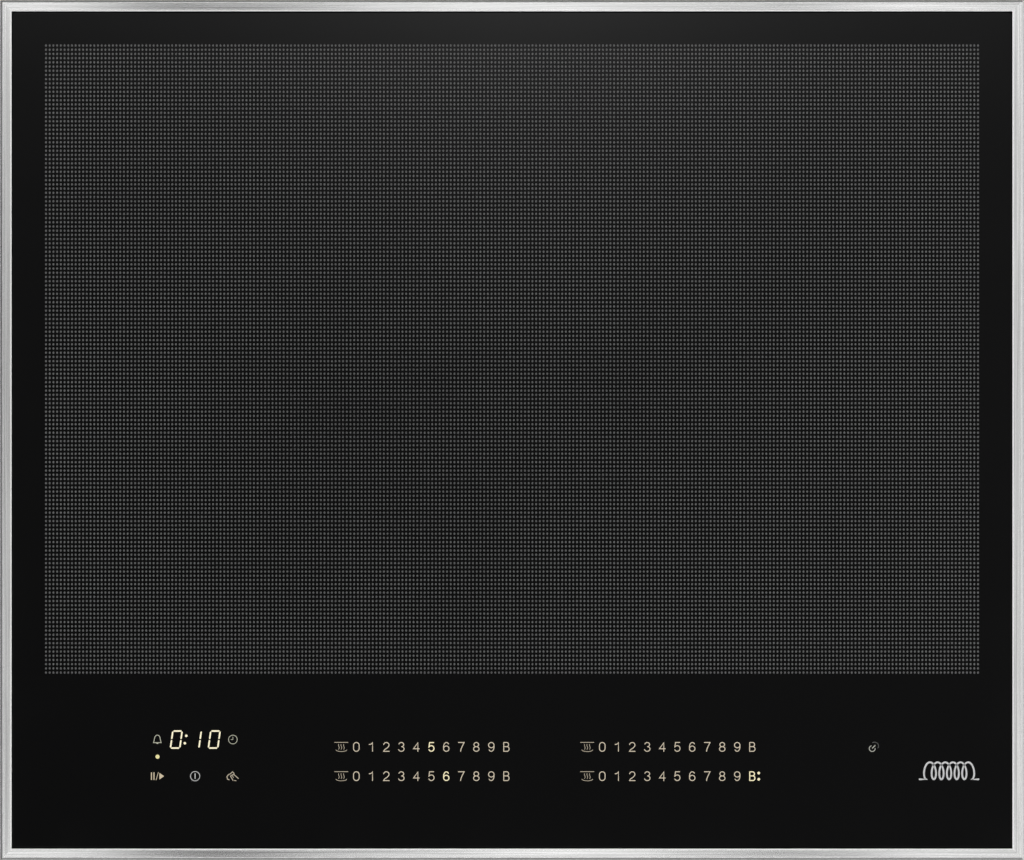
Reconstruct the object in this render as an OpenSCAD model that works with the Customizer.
// Built-in electric induction cooktop.
// It stands on the flat underside of its casing, so z = 0 is there and the origin is the
// middle of its footprint. The control strip is along the -Y edge, the mains terminals at +Y.

/* [Overall] */
// Width across the trim frame
hob_w = 626; // [620:1:634]
// Depth across the trim frame, front to back
hob_d = 526; // [520:1:534]
// Depth of the casing below the worktop
sink_depth = 51; // [51:0.5:56]

/* [Trim frame] */
// Width of the visible steel strip
strip_w = 7; // [6.5:0.5:8]
// Thickness of the formed sheet
strip_t = 1; // [0.8:0.1:1.1]
// Plan width of the sloped outer edge
bevel_w = 1.5; // [1:0.1:2]
// Drop of the sloped outer edge
bevel_h = 1.3; // [0.8:0.1:2]
// Height of the frame above the worktop
frame_rise = 6.7; // [6.7:0.1:8]
// Corner radius of the frame in plan
frame_corner_r = 1; // [0.5:0.1:2]

/* [Glass] */
// Thickness of the glass-ceramic plate
glass_t = 4; // [3.5:0.5:4]
// Sealant gap between the glass and the frame
sealant_gap = 0.9; // [0.7:0.1:1.2]
// Thickness of the adhesive bed under the glass
bed_t = 0.4; // [0.3:0.1:0.5]
// Thickness of the foam seal under the frame
seal_t = 1; // [1:0.1:1.5]

/* [Casing] */
// Width of the casing below the worktop
casing_w = 588; // [586:1:589]
// Depth of the casing, front to back
casing_d = 488; // [486:1:489]
// Thickness of the casing sheet
sheet_t = 1; // [0.8:0.1:1]
// Radius of the casing's vertical corners
casing_corner_r = 3; // [2:0.5:4]
// Radius of each fan's intake hole
intake_r = 36; // [34:0.5:36]

/* [Side springs] */
// Width of a spring leaf
leaf_w = 30; // [20:1:40]
// Thickness of the spring steel
leaf_t = 0.8; // [0.6:0.1:0.8]
// Distance of each spring from the middle of the side
leaf_y = 150; // [140:1:170]

/* [Coils] */
// Width of one coil winding
coil_w = 136; // [130:1:138]
// Length of one coil winding
coil_l = 186; // [180:1:188]
// Turns in one coil
coil_turns = 11; // [8:1:11]
// Distance between neighbouring turns
turn_pitch = 4; // [4:0.1:4.2]
// Side of the pressed litz wire
wire_s = 3.2; // [2.8:0.1:3.4]
// Distance the coil carrier can sink against its springs
carrier_travel = 2; // [1:0.5:2]

/* [Fans] */
// Distance of each fan from the middle plane
fan_x = 125; // [123:1:127]
// Radius of the fan rotor
rotor_r = 38; // [36:0.5:39]
// Number of rotor blades
blade_count = 30; // [20:1:34]
// Radius of the fan shaft
shaft_r = 1.5; // [1.5:0.1:2]

/* [Terminal box] */
// Bore radius of the mains cable entry
cable_bore_r = 7; // [6:0.5:7]
// Thickness of the terminal cover
cover_t = 2; // [1.5:0.1:2]

/* [Hidden] */
$fn = 64;
eps = 0.01;

// heights, from the resting plane up
seal_z = sink_depth;
frame_z = seal_z + seal_t;
bed_z = frame_z + strip_t;
glass_z = bed_z + bed_t;
frame_top = seal_z + frame_rise;
sealant_top = glass_z + glass_t - 0.2;

// plan sizes
ledge_u = (hob_w - casing_w) / 2 + sheet_t;
ledge_v = (hob_d - casing_d) / 2 + sheet_t;
glass_w = hob_w - 2 * (strip_w + sealant_gap);
glass_d = hob_d - 2 * (strip_w + sealant_gap);
wall_x = casing_w / 2;
wall_y = casing_d / 2;

// coil stack, hung from the underside of the glass
mica_t = 0.5;
mica_z = glass_z - 0.1 - mica_t;
winding_z = mica_z - wire_s;
former_t = 1.5;
former_z = winding_z - former_t;
ferrite_t = 4.5;
ferrite_z = former_z - ferrite_t;
plate_t = 1.5;
plate_z = ferrite_z - plate_t;
plate_w = 566;
plate_d = 380;
array_y = 46;
coil_dx = 142;
coil_dy = 194;
coil_x = [for (i = [0 : 3]) (i - 1.5) * coil_dx];
coil_y = [for (j = [0 : 1]) array_y + (j - 0.5) * coil_dy];

// guide posts, where no coil, board or fan is
posts = [[-273, -120], [0, -120], [273, -120], [-273, 46], [0, 46], [273, 46],
    [-273, 212], [0, 212]];
post_r = 2.5;
shoulder_r = 5.5;
shoulder_z = 22;
spring_turns = 5;

// power electronics
board_z = 9;
board_t = 1.6;
board_top = board_z + board_t;
board_w = 212;
board_d = 170;
board_x = 156;
board_y = 35;
device_h = 4.6;
sink_w = 80;
sink_l = 150;
sink_z = board_top + device_h;
sink_top = 38;
filter_c = [238, 161];
filter_w = 90;
filter_d = 58;
standoff_r = 3;
screw_r = 1.5;

// fans
fan_y = 185;
fan_base = sheet_t + 1.5;
housing_r = 50;
housing_h = 29.5;
housing_top = fan_base + housing_h;
motor_r = 15.8;
run_gap = 0.06;

// control strip
control_w = 480;
control_y0 = -233;
control_y1 = -165;
control_z = 44.2;
control_board_z = 47;
control_board_top = control_board_z + board_t;
key_row = -211.7;
timer_row = -189.3;
keys = [[-216.8, key_row], [-193.7, key_row], [-170.8, key_row],
    [-216.8, timer_row], [-170.8, timer_row], [220.7, -194.3]];
slider_x = [-50, 101];
slider_rows = [-193.8, -211.8];
slider_l = 110;

// terminal box
box_x0 = 196;
box_x1 = 291;
box_y0 = 200;
chamber_x0 = 202;
chamber_x1 = 286;
chamber_z0 = 9;
chamber_z1 = 35;
lip_y = wall_y;
lip_t = 2;
gland_x = 273;
gland_z = 21;
gland_boss_r = 9.5;
gland_wall_x = 261;
lip_top = 41;
hinge_y = lip_y + lip_t + 1.75;
hinge_z = 6.4;
barrel_r = 1.6;
pin_r = 1;
cover_x0 = 200.4;
cover_x1 = 259.6;
clamp_screws = [264.2, 281.8];
terminal_count = 5;
terminal_pitch = 9;
terminal_x0 = 213;
terminal_seat_z = 18;
clamp_top = 32;

// side springs: the leaf's outline beside the wall, from its bend line up
foot_z = 17.4;
bend_z = 18;
bend_x = wall_x + leaf_t;
leaf_rise = [0, 16, 25];
leaf_out = [0, 6.7, 4.4];

// ---------- shared shapes ----------

// Rectangle about the origin with round corners
module rounded_rect(w, d, r) {
    square([w - 2 * r, d], center = true);
    square([w, d - 2 * r], center = true);
    for (x = [-1, 1], y = [-1, 1])
        translate([x * (w / 2 - r), y * (d / 2 - r)]) circle(r);
}

// Flat block of that outline, from z0 to z1
module rounded_block(w, d, r, z0, z1) {
    translate([0, 0, z0]) linear_extrude(z1 - z0) rounded_rect(w, d, r);
}

// Box given by its lowest and highest corners
module box(low, high) {
    translate(low) cube(high - low);
}

// Round bar along Y
module bar_y(r, y0, y1) {
    translate([0, y1, 0]) rotate([90, 0, 0]) cylinder(h = y1 - y0, r = r);
}

// Outline of a racetrack: half circles at both ends, long way along Y
module racetrack(w, l) {
    square([w, l - w], center = true);
    for (s = [-1, 1]) translate([0, s * (l - w) / 2]) circle(w / 2);
}

// Row of upright slots through a wall that faces Y, about the middle x
module slot_row_x(count, pitch, y, z0, z1) {
    for (i = [0 : count - 1])
        translate([(i - (count - 1) / 2) * pitch, y, (z0 + z1) / 2])
            cube([3, 6 * sheet_t, z1 - z0], center = true);
}

// The same through a wall that faces X
module slot_row_y(count, pitch, x, z0, z1) {
    rotate([0, 0, 90]) slot_row_x(count, pitch, -x, z0, z1);
}

// Closed tube swept along a helix of round wire
module helix(coil_r, wire_r, height, turns, steps = 10, sides = 6) {
    n = turns * steps;
    points = [for (i = [0 : n], j = [0 : sides - 1])
        let (a = 360 * i / steps, b = 360 * j / sides, r = coil_r + wire_r * cos(b))
        [r * cos(a), r * sin(a), height * i / n + wire_r * sin(b)]];
    walls = [for (i = [0 : n - 1], j = [0 : sides - 1])
        let (k = (j + 1) % sides, a = i * sides, b = a + sides)
        each [[a + j, b + j, b + k], [a + j, b + k, a + k]]];
    first = [for (j = [0 : sides - 1]) j];
    last = [for (j = [sides - 1 : -1 : 0]) n * sides + j];
    polyhedron(points, concat([first, last], walls));
}

// Screw with its head's underside at z = 0, shank downwards
module screw(shank_r, length, head_r, head_h) {
    cylinder(h = head_h, r = head_r);
    translate([0, 0, -length]) cylinder(h = length + eps, r = shank_r);
}

// ---------- glass, frame and seals ----------

module glass_top() {
    color("#141414") rounded_block(glass_w, glass_d, 1, glass_z, glass_z + glass_t);
}

// The bent sheet of the frame in section: x is the distance in from the outer edge
module frame_section(ledge) {
    top = frame_top;
    t = strip_t;
    polygon([[0, frame_z], [0, top - bevel_h], [bevel_w, top], [strip_w, top],
        [strip_w, bed_z], [ledge, bed_z], [ledge, frame_z], [strip_w - t, frame_z],
        [strip_w - t, top - t], [bevel_w + 0.3, top - t], [t, top - bevel_h - 0.4],
        [t, frame_z]]);
}

// One side of the frame along X, cut to a 45 degree mitre at both ends
module frame_side(length, depth, ledge) {
    m = ledge + 1;
    intersection() {
        translate([-length / 2, -depth / 2, 0]) rotate([90, 0, 90])
            linear_extrude(length) frame_section(ledge);
        linear_extrude(frame_top + 1)
            polygon([[-length / 2, -depth / 2], [length / 2, -depth / 2],
                [length / 2 - m, -depth / 2 + m], [-length / 2 + m, -depth / 2 + m]]);
    }
}

module trim_frame() {
    color("#c8c8c6") intersection() {
        union() for (half_turn = [0, 180]) rotate([0, 0, half_turn]) {
            frame_side(hob_w, hob_d, ledge_v);
            rotate([0, 0, 90]) frame_side(hob_d, hob_w, ledge_u);
        }
        rounded_block(hob_w, hob_d, frame_corner_r, 0, frame_top + 1);
    }
}

// Silicone line around the glass, with the adhesive bed under its rim
module edge_sealant() {
    color("#0a0a0a") difference() {
        box([-hob_w / 2 + strip_w, -hob_d / 2 + strip_w, bed_z],
            [hob_w / 2 - strip_w, hob_d / 2 - strip_w, sealant_top]);
        rounded_block(glass_w, glass_d, 1, glass_z, frame_top);
        box([-hob_w / 2 + ledge_u, -hob_d / 2 + ledge_v, 0],
            [hob_w / 2 - ledge_u, hob_d / 2 - ledge_v, frame_top]);
    }
}

module worktop_seal() {
    inset = 1;
    width = 11.5;
    color("#2b2b2b") difference() {
        rounded_block(hob_w - 2 * inset, hob_d - 2 * inset, 1, seal_z, frame_z);
        rounded_block(hob_w - 2 * (inset + width), hob_d - 2 * (inset + width), 1,
            seal_z - 1, frame_z + 1);
    }
}

// ---------- casing ----------

module corner_seams() {
    seam_from_corner = 6;
    for (x = [-1, 1], y = [-1, 1])
        translate([x * wall_x, y * (wall_y - seam_from_corner), frame_z / 2 + 2])
            cube([4 * sheet_t, 0.5, frame_z - 1], center = true);
}

module vents() {
    for (x = [-fan_x, fan_x]) {
        translate([x, 0, 0]) slot_row_x(15, 9, -wall_y, 10, 34);
        for (i = [-4 : 4])
            translate([x + i * 14, -150, 0]) cube([5, 46, 4 * sheet_t], center = true);
    }
    translate([-fan_x, 0, 0]) slot_row_x(11, 9, wall_y, 10, 34);
    translate([fan_x - 60, 0, 0]) slot_row_x(11, 9, wall_y, 10, 34);
    for (x = [-wall_x, wall_x]) slot_row_y(12, 9, x, 12, 32);
}

// Shallow stiffening grooves pressed into the underside
module underside_grooves() {
    groove_d = 0.4;
    for (x = [-235, -30, 30, 235])
        translate([x, 10, -eps]) linear_extrude(groove_d) racetrack(8, 300);
    for (x = [-fan_x, fan_x])
        translate([x, -205, -eps]) linear_extrude(groove_d)
            rotate([0, 0, 90]) racetrack(8, 180);
}

bracket_x = [-200, 200];
bracket_y = [-65, 65];
bracket_screw_z = 44;

// Places a part against the inside of each wall, facing out along +X
module at_brackets() {
    for (y = bracket_y) {
        translate([wall_x, y, 0]) children();
        translate([-wall_x, y, 0]) rotate([0, 0, 180]) children();
    }
    for (x = bracket_x) translate([x, -wall_y, 0]) rotate([0, 0, -90]) children();
    translate([bracket_x[0], wall_y, 0]) rotate([0, 0, 90]) children();
}

// Places a part at each side spring, facing out along +X
module at_springs() {
    for (y = [-leaf_y, leaf_y]) {
        translate([0, y, 0]) children();
        rotate([0, 0, 180]) translate([0, y, 0]) children();
    }
}

rivet_y = [-9, 9];
rivet_z = 11;

module rivet_shanks(r) {
    at_springs() for (y = rivet_y)
        translate([wall_x - sheet_t - 0.6, y, rivet_z]) rotate([0, 90, 0])
            cylinder(h = sheet_t + leaf_t + 1.2, r = r);
}

module casing_tray() {
    color("#b9bcbd") difference() {
        rounded_block(casing_w, casing_d, casing_corner_r, 0, frame_z);
        rounded_block(casing_w - 2 * sheet_t, casing_d - 2 * sheet_t,
            casing_corner_r - sheet_t, sheet_t, frame_z + 1);
        corner_seams();
        vents();
        underside_grooves();
        for (x = [-fan_x, fan_x])
            translate([x, fan_y, -1]) cylinder(h = 4, r = intake_r);
        at_brackets() translate([-3, 0, bracket_screw_z]) rotate([0, 90, 0])
            cylinder(h = 6, r = 2.1);
        rivet_shanks(1.6);
        box([chamber_x0 - 2.2, wall_y - 3, chamber_z0 - 2.2],
            [chamber_x1 + 2.2, wall_y + 3, chamber_z1 + 2.2]);
    }
}

// Angle brackets glued under the glass and screwed to the casing's walls
module casing_brackets() {
    leg = 7;
    t = 1;
    half = 20;
    color("#b9bcbd") at_brackets() difference() {
        union() {
            box([-sheet_t - t, -half, 37], [-sheet_t, half, glass_z]);
            box([-sheet_t - leg, -half, glass_z - t], [-sheet_t, half, glass_z]);
        }
        translate([-4, 0, bracket_screw_z]) rotate([0, 90, 0]) cylinder(h = 6, r = 2.03);
    }
}

module casing_screws() {
    color("#d6d6d2") at_brackets() difference() {
        translate([0, 0, bracket_screw_z]) rotate([0, 90, 0]) screw(2, 6, 3.6, 2);
        translate([2, 0, bracket_screw_z]) cube([1.6, 0.9, 4.4], center = true);
        translate([2, 0, bracket_screw_z]) cube([1.6, 4.4, 0.9], center = true);
    }
}

module rating_plate() {
    color("#d8d8d8") translate([-225, wall_y, 24]) rotate([-90, 0, 0])
        linear_extrude(0.3) rounded_rect(64, 26, 2);
}

module insulation_film() {
    color("#e8d9a8") difference() {
        for (s = [-1, 1])
            translate([s * board_x, board_y, sheet_t]) linear_extrude(0.25)
                rounded_rect(board_w + 8, board_d + 8, 4);
        board_points(0) cylinder(h = 6, r = standoff_r + 0.5);
    }
}

// ---------- side springs ----------

// The leaf's section beside the right-hand wall
module leaf_section() {
    inner = [for (i = [0 : 2]) [bend_x - leaf_t + leaf_out[i] + 0.3, bend_z + leaf_rise[i]]];
    outer = [for (i = [2 : -1 : 0]) [bend_x + leaf_out[i] + 0.3, bend_z + leaf_rise[i]]];
    polygon(concat(inner, outer));
}

module side_spring() {
    color("#a9adb0") translate([0, leaf_w / 2, 0]) rotate([90, 0, 0])
        linear_extrude(leaf_w) leaf_section();
}

module side_spring_1() { translate([0, -leaf_y, 0]) side_spring(); }
module side_spring_2() { translate([0, leaf_y, 0]) side_spring(); }
module side_spring_3() { rotate([0, 0, 180]) translate([0, leaf_y, 0]) side_spring(); }
module side_spring_4() { rotate([0, 0, 180]) translate([0, -leaf_y, 0]) side_spring(); }

module spring_feet() {
    color("#a9adb0") difference() {
        at_springs() box([wall_x, -leaf_w / 2, 4], [wall_x + leaf_t, leaf_w / 2, foot_z]);
        rivet_shanks(1.6);
    }
}

module spring_rivets() {
    color("#c4c6c8") {
        rivet_shanks(1.6);
        at_springs() for (y = rivet_y)
            translate([wall_x + leaf_t, y, rivet_z]) rotate([0, 90, 0])
                cylinder(h = 1, r = 3);
    }
}

// ---------- coils ----------

// Carrier plate: it slides down the posts when the glass is pressed
module coil_carrier() {
    color("#c9ccce") difference() {
        translate([0, array_y, plate_z]) linear_extrude(plate_t)
            rounded_rect(plate_w, plate_d, 6);
        for (p = posts) translate([p.x, p.y, plate_z - 1])
            cylinder(h = plate_t + 2, r = post_r + 0.08);
        for (x = coil_x, y = coil_y)
            translate([x, y, plate_z - 1]) cylinder(h = plate_t + 2, r = 9);
    }
}

module carrier_posts() {
    color("#8f9396") for (p = posts) translate([p.x, p.y, 0]) {
        translate([0, 0, sheet_t]) cylinder(h = 2, r = 6.5);
        translate([0, 0, sheet_t]) cylinder(h = shoulder_z - sheet_t, r = shoulder_r);
        translate([0, 0, shoulder_z - 1])
            cylinder(h = plate_z + plate_t - shoulder_z + 1, r = post_r);
    }
}

module carrier_springs() {
    wire_r = 0.6;
    gap = 0.05;
    color("#9a9da0") for (p = posts)
        translate([p.x, p.y, shoulder_z + wire_r + gap])
            helix(4.3, wire_r, plate_z - shoulder_z - 2 * (wire_r + gap), spring_turns);
}

// One half turn of the winding: an arc at the +Y end
module half_turn(r) {
    rotate_extrude(angle = 180) translate([r - wire_s / 2, 0]) square(wire_s);
}

// Flat spiral of pressed litz wire. Each half turn is a little wider than the last, so the
// arcs at the two ends are struck from centres a quarter pitch either side of the middle.
module winding() {
    shift = turn_pitch / 4;
    straight = coil_l - coil_w;
    inner_r = coil_w / 2 - coil_turns * turn_pitch;
    for (k = [0 : coil_turns - 1]) {
        r = inner_r + k * turn_pitch;
        translate([shift, straight / 2, 0]) half_turn(r);
        translate([-shift, -straight / 2, 0]) rotate([0, 0, 180])
            half_turn(r + turn_pitch / 2);
        translate([shift + r - wire_s / 2, -straight / 2, 0])
            cube([wire_s, straight, wire_s]);
        if (k < coil_turns - 1)
            translate([shift - r - turn_pitch - wire_s / 2, -straight / 2, 0])
                cube([wire_s, straight, wire_s]);
    }
}

// Coils are numbered from the front left, row by row
module coil(number) {
    i = (number - 1) % 4;
    j = floor((number - 1) / 4);
    color("#b8703a") translate([coil_x[i], coil_y[j], winding_z]) winding();
}

module coil_formers() {
    margin = 1;
    color("#3c3f42") for (x = coil_x, y = coil_y)
        translate([x, y, former_z]) difference() {
            union() {
                linear_extrude(former_t) racetrack(coil_w + 2 * margin, coil_l + 2 * margin);
                cylinder(h = former_t + wire_s - 1, r = 12);
            }
            translate([0, 0, -1]) cylinder(h = 10, r = 8);
        }
}

// Six bars across each winding and one under each rounded end
module ferrite_bars() {
    bar_l = 42;
    bar_w = 12;
    color("#33363a") for (x = coil_x, y = coil_y) translate([x, y, ferrite_z]) {
        for (side = [-1, 1], row = [-1 : 1])
            translate([side * 45 - bar_l / 2, row * 28 - bar_w / 2, 0])
                cube([bar_l, bar_w, ferrite_t]);
        for (end = [-1, 1])
            translate([-bar_w / 2, end * 66 - bar_l / 2, 0])
                cube([bar_w, bar_l, ferrite_t]);
    }
}

module mica_sheet() {
    color("#d9cfa0") difference() {
        translate([0, array_y, mica_z]) linear_extrude(mica_t)
            rounded_rect(plate_w - 4, plate_d - 4, 6);
        for (x = coil_x, y = coil_y)
            translate([x, y, mica_z - 1]) cylinder(h = 3, r = 7);
    }
}

// Temperature feelers that press on the glass at the middle of each coil
module sensor_pads() {
    color("#e6e2d8") for (x = coil_x, y = coil_y) translate([x, y, former_z]) {
        cylinder(h = glass_z - 0.1 - former_z, r = 5);
        cylinder(h = 2, r = 7.9);
    }
}

// ---------- power electronics ----------

// Children at every board mounting point, at height z
module board_points(z) {
    inset = 6;
    for (s = [-1, 1], x = [-1, 1], y = [-1, 1])
        translate([s * board_x + x * (board_w / 2 - inset),
            board_y + y * (board_d / 2 - inset), z]) children();
    for (x = [-1, 1], y = [-1, 1])
        translate([filter_c.x + x * (filter_w / 2 - inset),
            filter_c.y + y * (filter_d / 2 - inset), z]) children();
}

module board_standoffs() {
    color("#c9b26a") difference() {
        board_points(sheet_t)
            cylinder(h = board_z - sheet_t, r = standoff_r, $fn = 6);
        board_points(sheet_t + 2) cylinder(h = board_z, r = screw_r + 0.05);
    }
}

module board_screws() {
    color("#c4c6c8") board_points(board_top) screw(screw_r, 6, 2.8, 1.8);
}

module power_board(side) {
    color("#2f6b3f") difference() {
        translate([side * board_x, board_y, board_z]) linear_extrude(board_t)
            rounded_rect(board_w, board_d, 2);
        board_points(board_z - 1) cylinder(h = board_t + 2, r = screw_r + 0.1);
    }
}
module power_board_left() { power_board(-1); }
module power_board_right() { power_board(1); }

// Row positions of the four switching transistors and the bridge under each heat sink
device_y = [for (i = [-2 : 2]) board_y + 5 + i * 28];

module power_transistors() {
    color("#222426") for (s = [-1, 1], y = device_y)
        translate([s * fan_x, y, board_top + device_h / 2])
            cube([20, 16, device_h], center = true);
}

module heat_sink(side) {
    fins = 13;
    fin_t = 1.6;
    color("#b4b8bb") translate([side * fan_x, board_y + 5, 0]) {
        box([-sink_w / 2, -sink_l / 2, sink_z], [sink_w / 2, sink_l / 2, sink_z + 4]);
        for (i = [0 : fins - 1])
            translate([-sink_w / 2 + i * (sink_w - fin_t) / (fins - 1), -sink_l / 2, sink_z])
                cube([fin_t, sink_l, sink_top - sink_z]);
    }
}
module heat_sink_left() { heat_sink(-1); }
module heat_sink_right() { heat_sink(1); }

module film_capacitors() {
    color("#c9a227") {
        for (s = [-1, 1], i = [-2 : 2])
            translate([s * 215, board_y + i * 30, board_top])
                linear_extrude(20) rounded_rect(30, 16, 1.5);
        translate([filter_c.x + 24, filter_c.y, board_top])
            linear_extrude(20) rounded_rect(14, 32, 1.5);
    }
}

module filter_board() {
    color("#2f6b3f") difference() {
        translate([filter_c.x, filter_c.y, board_z]) linear_extrude(board_t)
            rounded_rect(filter_w, filter_d, 2);
        board_points(board_z - 1) cylinder(h = board_t + 2, r = screw_r + 0.1);
    }
}

// Ring core of the mains filter, lying flat
module filter_choke() {
    color("#7d4a24") translate([filter_c.x - 10, filter_c.y, board_top + 8])
        rotate_extrude() translate([13, 0]) circle(r = 8, $fn = 48);
}

// ---------- fans ----------

module scroll_outline(r, outlet_w) {
    circle(r);
    translate([-outlet_w / 2, -r - 12]) square([outlet_w, r + 12]);
}

// Blower housing: air comes in from below and leaves towards the heat sink
module fan_housing(side) {
    wall = 2;
    color("#2a2c2e") translate([side * fan_x, fan_y, fan_base]) difference() {
        linear_extrude(housing_h) scroll_outline(housing_r, 70);
        translate([0, 0, wall]) linear_extrude(housing_h - 2 * wall) {
            scroll_outline(housing_r - wall, 66);
            translate([-33, -housing_r - 14]) square([66, 20]);
        }
        translate([0, 0, -1]) cylinder(h = wall + 2, r = intake_r - 3);
        translate([0, 0, housing_h - wall - 1]) cylinder(h = wall + 2, r = motor_r + 0.2);
    }
}
module fan_housing_left() { fan_housing(-1); }
module fan_housing_right() { fan_housing(1); }

rotor_z0 = fan_base + 3.5;
rotor_z1 = rotor_z0 + 20.5;

// Forward-curved blade ring under a back plate, pressed on the shaft
module fan_rotor(side) {
    plate = 1.5;
    color("#1d1f21") translate([side * fan_x, fan_y, 0]) difference() {
        union() {
            translate([0, 0, rotor_z1 - plate]) cylinder(h = plate, r = rotor_r);
            translate([0, 0, rotor_z1 - 8]) cylinder(h = 8, r = 5);
            for (i = [0 : blade_count - 1]) rotate([0, 0, i * 360 / blade_count])
                translate([rotor_r - 8, -0.5, rotor_z0 + 0.5]) rotate([0, 0, 25])
                    cube([7, 1, rotor_z1 - rotor_z0 - 1.2]);
            translate([0, 0, rotor_z0]) difference() {
                cylinder(h = 1.5, r = rotor_r);
                translate([0, 0, -1]) cylinder(h = 4, r = rotor_r - 3);
            }
        }
        translate([0, 0, rotor_z1 - 10]) cylinder(h = 12, r = shaft_r);
    }
}
module fan_rotor_left() { fan_rotor(-1); }
module fan_rotor_right() { fan_rotor(1); }

module fan_motor(side) {
    color("#55585b") translate([side * fan_x, fan_y, 0]) difference() {
        union() {
            translate([0, 0, rotor_z1 + 1]) cylinder(h = 9, r = motor_r);
            translate([0, 0, housing_top]) cylinder(h = 1.5, r = motor_r + 4);
        }
        translate([0, 0, rotor_z1]) cylinder(h = 12, r = shaft_r + run_gap);
    }
}
module fan_motor_left() { fan_motor(-1); }
module fan_motor_right() { fan_motor(1); }

module fan_shaft(side) {
    color("#c8cacc") translate([side * fan_x, fan_y, rotor_z1 - 8])
        cylinder(h = 17, r = shaft_r);
}
module fan_shaft_left() { fan_shaft(-1); }
module fan_shaft_right() { fan_shaft(1); }

// Guards in the intake holes: a flange on the sheet and a plug flush with the underside
module intake_grilles() {
    flange = 3;
    plug_r = intake_r - 0.2;
    color("#1d1f21") for (x = [-fan_x, fan_x]) translate([x, fan_y, 0]) {
        translate([0, 0, sheet_t]) linear_extrude(fan_base - sheet_t) difference() {
            circle(intake_r + flange);
            circle(plug_r - 3);
        }
        linear_extrude(fan_base) {
            for (r = [plug_r : -7 : 8]) difference() {
                circle(r);
                circle(r - 2.5);
            }
            circle(4);
            for (a = [0 : 60 : 120]) rotate(a) square([2 * plug_r - 2, 2], center = true);
        }
    }
}

// ---------- control strip ----------

module control_carrier() {
    mid_y = (control_y0 + control_y1) / 2;
    depth = control_y1 - control_y0;
    wall = 2;
    rim_top = 51.5;
    boss_x = [-225, -75, 75, 225];
    color("#1c1d1e") difference() {
        union() {
            translate([0, mid_y, control_z]) linear_extrude(rim_top - control_z)
                rounded_rect(control_w, depth, 3);
            for (x = boss_x, y = [-26, 26])
                translate([x, mid_y + y, sheet_t]) cylinder(h = control_z - sheet_t + 1, r = 4);
        }
        difference() {
            translate([0, mid_y, control_z + wall]) linear_extrude(10)
                rounded_rect(control_w - 2 * wall, depth - 2 * wall, 2);
            for (x = boss_x, y = [-26, 26])
                translate([x, mid_y + y, control_z])
                    cylinder(h = control_board_z - control_z, r = 4);
        }
        box([ribbon_x - ribbon_w / 2 - 1, control_y1 - 4, control_board_top - 0.1],
            [ribbon_x + ribbon_w / 2 + 1, control_y1 + 4, rim_top + 1]);
    }
}

module control_board() {
    color("#2f6b3f") translate([0, (control_y0 + control_y1) / 2, control_board_z])
        linear_extrude(board_t)
            rounded_rect(control_w - 5, control_y1 - control_y0 - 5, 2);
}

// Light boxes right under the glass: the timer digits and the four sliders
module display_modules() {
    top = glass_z - 0.15;
    color("#d9d3b0") {
        box([-212, timer_row - 7.5, control_board_top], [-176, timer_row + 7.5, top]);
        for (x = slider_x, y = slider_rows)
            box([x - slider_l / 2, y - 5, control_board_top],
                [x + slider_l / 2, y + 5, top]);
    }
}

module touch_springs() {
    wire_r = 0.4;
    gap = 0.05;
    base = control_board_top + wire_r + gap;
    color("#c8a860") for (k = keys) translate([k.x, k.y, base])
        helix(3, wire_r, glass_z - 0.1 - wire_r - base, 3);
}

ribbon_x = 75;
ribbon_w = 24;

// Flat cable from the control board down to the right power board
module ribbon_cable() {
    t = 0.6;
    top = control_board_top;
    drop_y = control_y1 + 7;
    end_y = board_y - board_d / 2 + 6;
    color("#8c8f93") translate([ribbon_x - ribbon_w / 2, 0, 0]) rotate([90, 0, 90])
        linear_extrude(ribbon_w)
            polygon([[control_y1 - 10, top], [control_y1 - 10, top + t], [drop_y, top + t],
                [drop_y, board_top + t], [end_y, board_top + t], [end_y, board_top],
                [drop_y - t, board_top], [drop_y - t, top]]);
}

// ---------- terminal box ----------

module at_hinge() {
    translate([0, hinge_y, hinge_z]) rotate([0, 90, 0]) children();
}

module terminal_box() {
    ear_w = 2;
    color("#26282a") difference() {
        union() {
            box([box_x0, box_y0, 4], [box_x1, wall_y - sheet_t, chamber_z1 + 3]);
            box([chamber_x0 - 2, wall_y - 2, chamber_z0 - 2],
                [chamber_x1 + 2, lip_y + lip_t, chamber_z1 + 2]);
            box([box_x0 + 1, lip_y, hinge_z - 1.8], [box_x1, lip_y + lip_t, lip_top]);
            for (x = [cover_x0 - 0.3 - ear_w, cover_x1 + 0.3])
                box([x, lip_y, hinge_z - 1.8], [x + ear_w, hinge_y + 1.6, hinge_z + 1.8]);
        }
        box([chamber_x0, box_y0 + 2, chamber_z0],
            [gland_wall_x, lip_y + 10, chamber_z1]);
        difference() {
            box([chamber_x0, box_y0 + 2, chamber_z0],
                [chamber_x1, wall_y - 2, chamber_z1]);
            box([263, 216, chamber_z0 - 1], [chamber_x1 + 1, 228, gland_z - cable_bore_r - 0.5]);
        }
        translate([gland_x, 0, gland_z]) bar_y(cable_bore_r, wall_y - 6, lip_y + 10);
        for (x = clamp_screws) translate([x, 222, 8]) cylinder(h = 20, r = 1.55);
        translate([190, 0, 0]) at_hinge() cylinder(h = 80, r = pin_r + 0.02);
    }
    color("#26282a") translate([gland_x, 0, gland_z]) difference() {
        bar_y(gland_boss_r, lip_y + lip_t - 1, lip_y + 4.2);
        bar_y(cable_bore_r, wall_y - 6, lip_y + 10);
    }
}

function terminal_x(i) = terminal_x0 + i * terminal_pitch;

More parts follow.
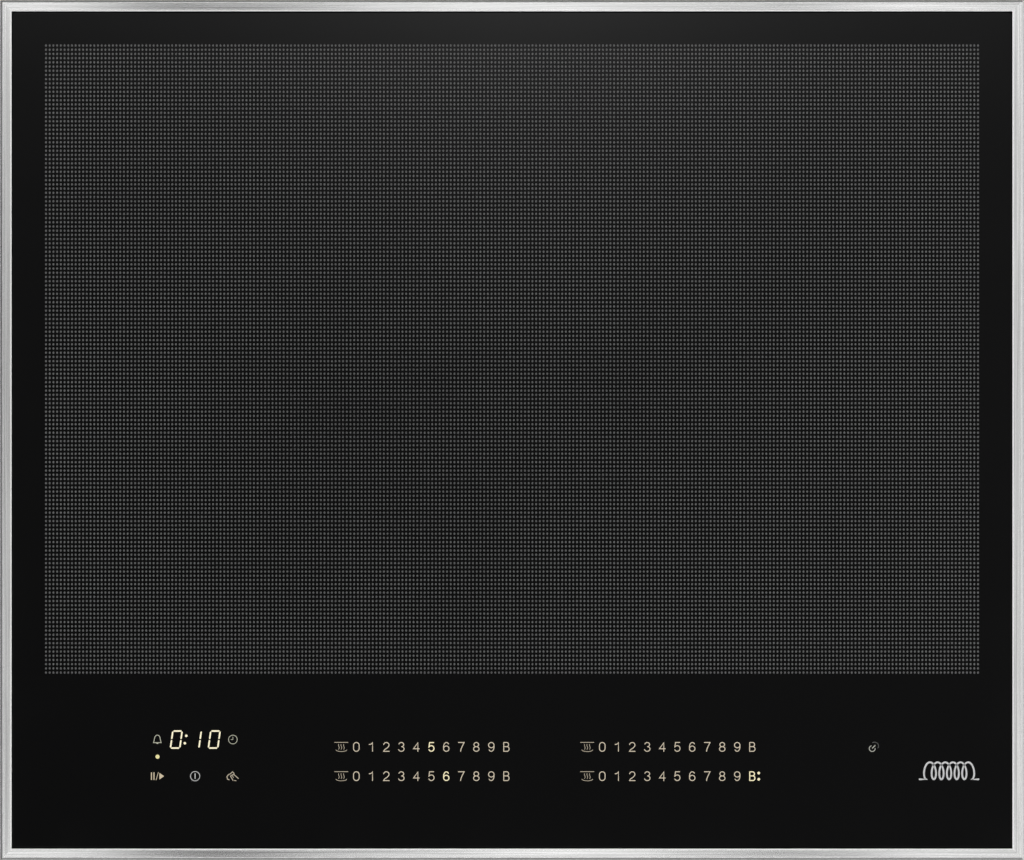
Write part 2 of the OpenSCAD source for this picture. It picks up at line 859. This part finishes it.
module terminal_block() {
    color("#e9e6df") difference() {
        box([terminal_x0 - 6, box_y0 + 2, chamber_z0],
            [terminal_x(terminal_count - 1) + 6, 218, terminal_seat_z + 6]);
        for (i = [0 : terminal_count - 1]) translate([terminal_x(i), 210, 0]) {
            translate([0, 0, terminal_seat_z]) cylinder(h = 10, r = 2.9);
            translate([0, 0, terminal_seat_z - 5]) bar_y(2.6, -2, 10);
        }
    }
}

module terminal_screws() {
    color("#c9b26a") {
        for (i = [0 : terminal_count - 1])
            translate([terminal_x(i), 210, terminal_seat_z]) difference() {
                cylinder(h = 4, r = 2.8);
                translate([0, 0, 4]) cube([0.9, 6, 2.4], center = true);
            }
        for (x = clamp_screws) translate([x, 222, clamp_top]) screw(1.5, 22, 2.5, 2);
    }
}

module cable_clamp() {
    color("#e9e6df") difference() {
        box([260.8, 218, gland_z + cable_bore_r + 0.5], [285.4, 226, clamp_top]);
        for (x = clamp_screws) translate([x, 222, 20]) cylinder(h = 20, r = 1.6);
    }
}

// Flap over the terminals, hinged along its lower edge
module terminal_cover() {
    top = lip_top - 2;
    color("#2e3032") difference() {
        union() {
            translate([cover_x0, 0, 0]) at_hinge()
                cylinder(h = cover_x1 - cover_x0, r = barrel_r);
            box([cover_x0, hinge_y - barrel_r, hinge_z],
                [cover_x1, hinge_y - barrel_r + cover_t, top]);
            box([222, hinge_y - barrel_r, top - 3], [238, hinge_y + 1.6, top + 1.5]);
        }
        translate([cover_x0 - 1, 0, 0]) at_hinge()
            cylinder(h = cover_x1 - cover_x0 + 2, r = pin_r + run_gap);
    }
}

module cover_hinge_pin() {
    color("#c8cacc") translate([cover_x0 - 2.3, 0, 0]) at_hinge()
        cylinder(h = cover_x1 - cover_x0 + 4.6, r = pin_r);
}

// ---------- drawing ----------

glass_top();
trim_frame();
edge_sealant();
worktop_seal();
casing_tray();
casing_brackets();
casing_screws();
rating_plate();
insulation_film();
side_spring_1();
side_spring_2();
side_spring_3();
side_spring_4();
spring_feet();
spring_rivets();
coil_carrier();
carrier_springs();
carrier_posts();
coil(1);  // coil_1
coil(2);  // coil_2
coil(3);  // coil_3
coil(4);  // coil_4
coil(5);  // coil_5
coil(6);  // coil_6
coil(7);  // coil_7
coil(8);  // coil_8
coil_formers();
ferrite_bars();
mica_sheet();
sensor_pads();
power_board_left();
power_board_right();
heat_sink_left();
heat_sink_right();
power_transistors();
film_capacitors();
filter_board();
filter_choke();
board_standoffs();
board_screws();
fan_housing_left();
fan_housing_right();
fan_rotor_left();
fan_rotor_right();
fan_motor_left();
fan_motor_right();
fan_shaft_left();
fan_shaft_right();
intake_grilles();
control_carrier();
control_board();
display_modules();
touch_springs();
ribbon_cable();
terminal_box();
terminal_block();
terminal_screws();
cable_clamp();
terminal_cover();
cover_hinge_pin();
